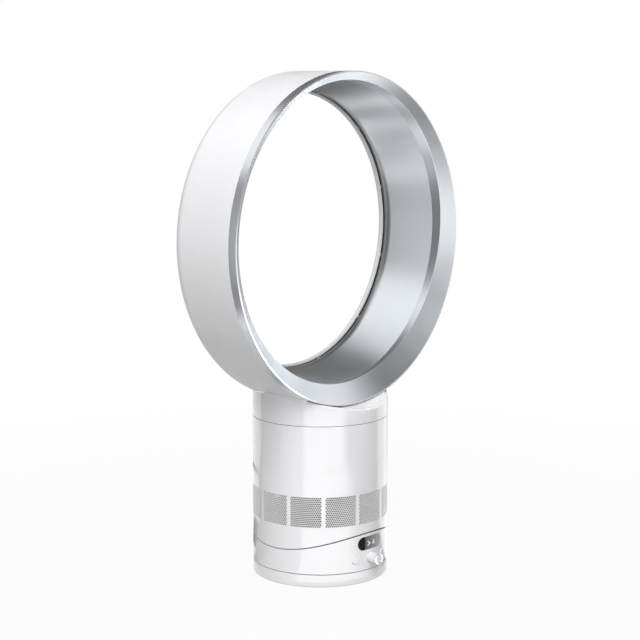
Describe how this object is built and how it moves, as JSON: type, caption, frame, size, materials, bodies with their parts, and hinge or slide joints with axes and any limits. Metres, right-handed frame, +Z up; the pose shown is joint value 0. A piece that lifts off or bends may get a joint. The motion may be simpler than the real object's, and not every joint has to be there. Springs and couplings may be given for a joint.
{
  "type": "bladeless fan",
  "caption": "Tabletop bladeless fan: a ring nozzle on a cylindrical body that tilts on an oscillating base with a display, a speed knob and push buttons.",
  "frame": {"origin": "on the surface that the fan stands on, at the centre of the cylindrical body", "axes": "+Z up, -Y is the front with the controls and the silver face of the ring, +X to the right seen from the front"},
  "size_m": [0.355, 0.1604, 0.5475],
  "materials": {
    "casing_white": "glossy white moulded plastic",
    "grille_white": "thin perforated plastic panels, satin white",
    "nozzle_silver": "silver metallic lacquer on plastic",
    "display_black": "smoked gloss window",
    "knob_chrome": "bright plated ring",
    "foot_rubber": "soft dark rubber, fine matt grain",
    "seal_rubber": "soft moulded seal",
    "gland_grey": "light grey flexible plastic",
    "bearing_plastic": "natural low-friction plastic",
    "frame_plastic": "plain moulded light grey plastic",
    "air_plastic": "dark glass-filled moulded plastic",
    "steel": "plain zinc-plated steel",
    "core_steel": "laminated core steel and bonded magnet",
    "winding_copper": "enamelled copper wire",
    "board_green": "printed circuit board",
    "component_black": "moulded black electronic parts",
    "foam_grey": "open-cell silencing foam"
  },
  "bodies": {
    "foot": {"foot_shell": "casing_white", "foot_pad": "foot_rubber", "cable_gland": "gland_grey", "fixed_gear": "bearing_plastic", "slide_ring": "bearing_plastic", "pivot_washer": "steel", "pivot_screws": "steel"},
    "control_base": {"turntable": "frame_plastic", "control_casing": "casing_white", "tilt_saddle": "frame_plastic", "base_screws": "steel", "display_window": "display_black", "display_board": "board_green", "control_board": "board_green", "board_bracket": "frame_plastic", "speed_encoder": "component_black", "button_switches": "component_black", "power_board": "board_green", "oscillation_motor": "steel"},
    "drive_pinion": {"oscillation_pinion": "bearing_plastic"},
    "knob": {"speed_knob": "casing_white", "knob_ring": "knob_chrome", "encoder_shaft": "steel"},
    "left_button": {"power_button": "casing_white"},
    "right_button": {"oscillation_button": "casing_white"},
    "fan_head": {"tilt_carriage": "frame_plastic", "tilt_runner": "bearing_plastic", "runner_screws": "steel", "carriage_screws": "steel", "body_shell": "casing_white", "intake_grille": "grille_white", "lower_foam": "foam_grey", "isolation_seal": "seal_rubber", "impeller_housing": "air_plastic", "diffuser": "air_plastic", "motor_bucket_lower": "air_plastic", "motor_bucket_upper": "air_plastic", "driver_board": "board_green", "stator_core": "core_steel", "stator_windings": "winding_copper", "motor_bearings": "steel", "outlet_seal": "seal_rubber", "neck_ring": "frame_plastic", "nozzle_seal": "seal_rubber", "nozzle_neck": "casing_white", "nozzle_outer_shell": "casing_white", "nozzle_rear_shell": "casing_white", "nozzle_inner_shell": "nozzle_silver", "nozzle_front_trim": "nozzle_silver", "slot_spacers": "frame_plastic"},
    "rotor": {"impeller": "air_plastic", "impeller_nut": "steel", "motor_shaft": "steel", "rotor_magnet": "core_steel"}
  },
  "joints": [
    {"name": "oscillation", "type": "hinge", "parent": "foot", "child": "control_base", "pos_m": [0, 0, 0.015], "axis": [0, 0, 1], "range_deg": [-45, 45]},
    {"name": "pinion_turn", "type": "hinge", "parent": "control_base", "child": "drive_pinion", "pos_m": [0.04, 0, 0.006], "axis": [0, 0, 1], "range_deg": [-136, 136]},
    {"name": "tilt", "type": "hinge", "parent": "control_base", "child": "fan_head", "pos_m": [0, 0, 0.218], "axis": [1, 0, 0], "range_deg": [-10, 10]},
    {"name": "speed_dial", "type": "hinge", "parent": "control_base", "child": "knob", "pos_m": [0, -0.074, 0.028], "axis": [0, -1, 0], "range_deg": [-140, 140]},
    {"name": "power_press", "type": "slide", "parent": "control_base", "child": "left_button", "axis": [0, 1, 0], "range_m": [0, 0.0008], "stiffness_N_per_m": 1200, "springref_m": -0.0005},
    {"name": "oscillation_press", "type": "slide", "parent": "control_base", "child": "right_button", "axis": [0, 1, 0], "range_m": [0, 0.0008], "stiffness_N_per_m": 1200, "springref_m": -0.0005},
    {"name": "impeller_spin", "type": "hinge", "parent": "fan_head", "child": "rotor", "pos_m": [0, 0, 0.11], "axis": [0, 0, 1], "continuous": true}
  ],
  "couplings": [
    {"joint": "pinion_turn", "follows": "oscillation", "ratio": 3}
  ]
}
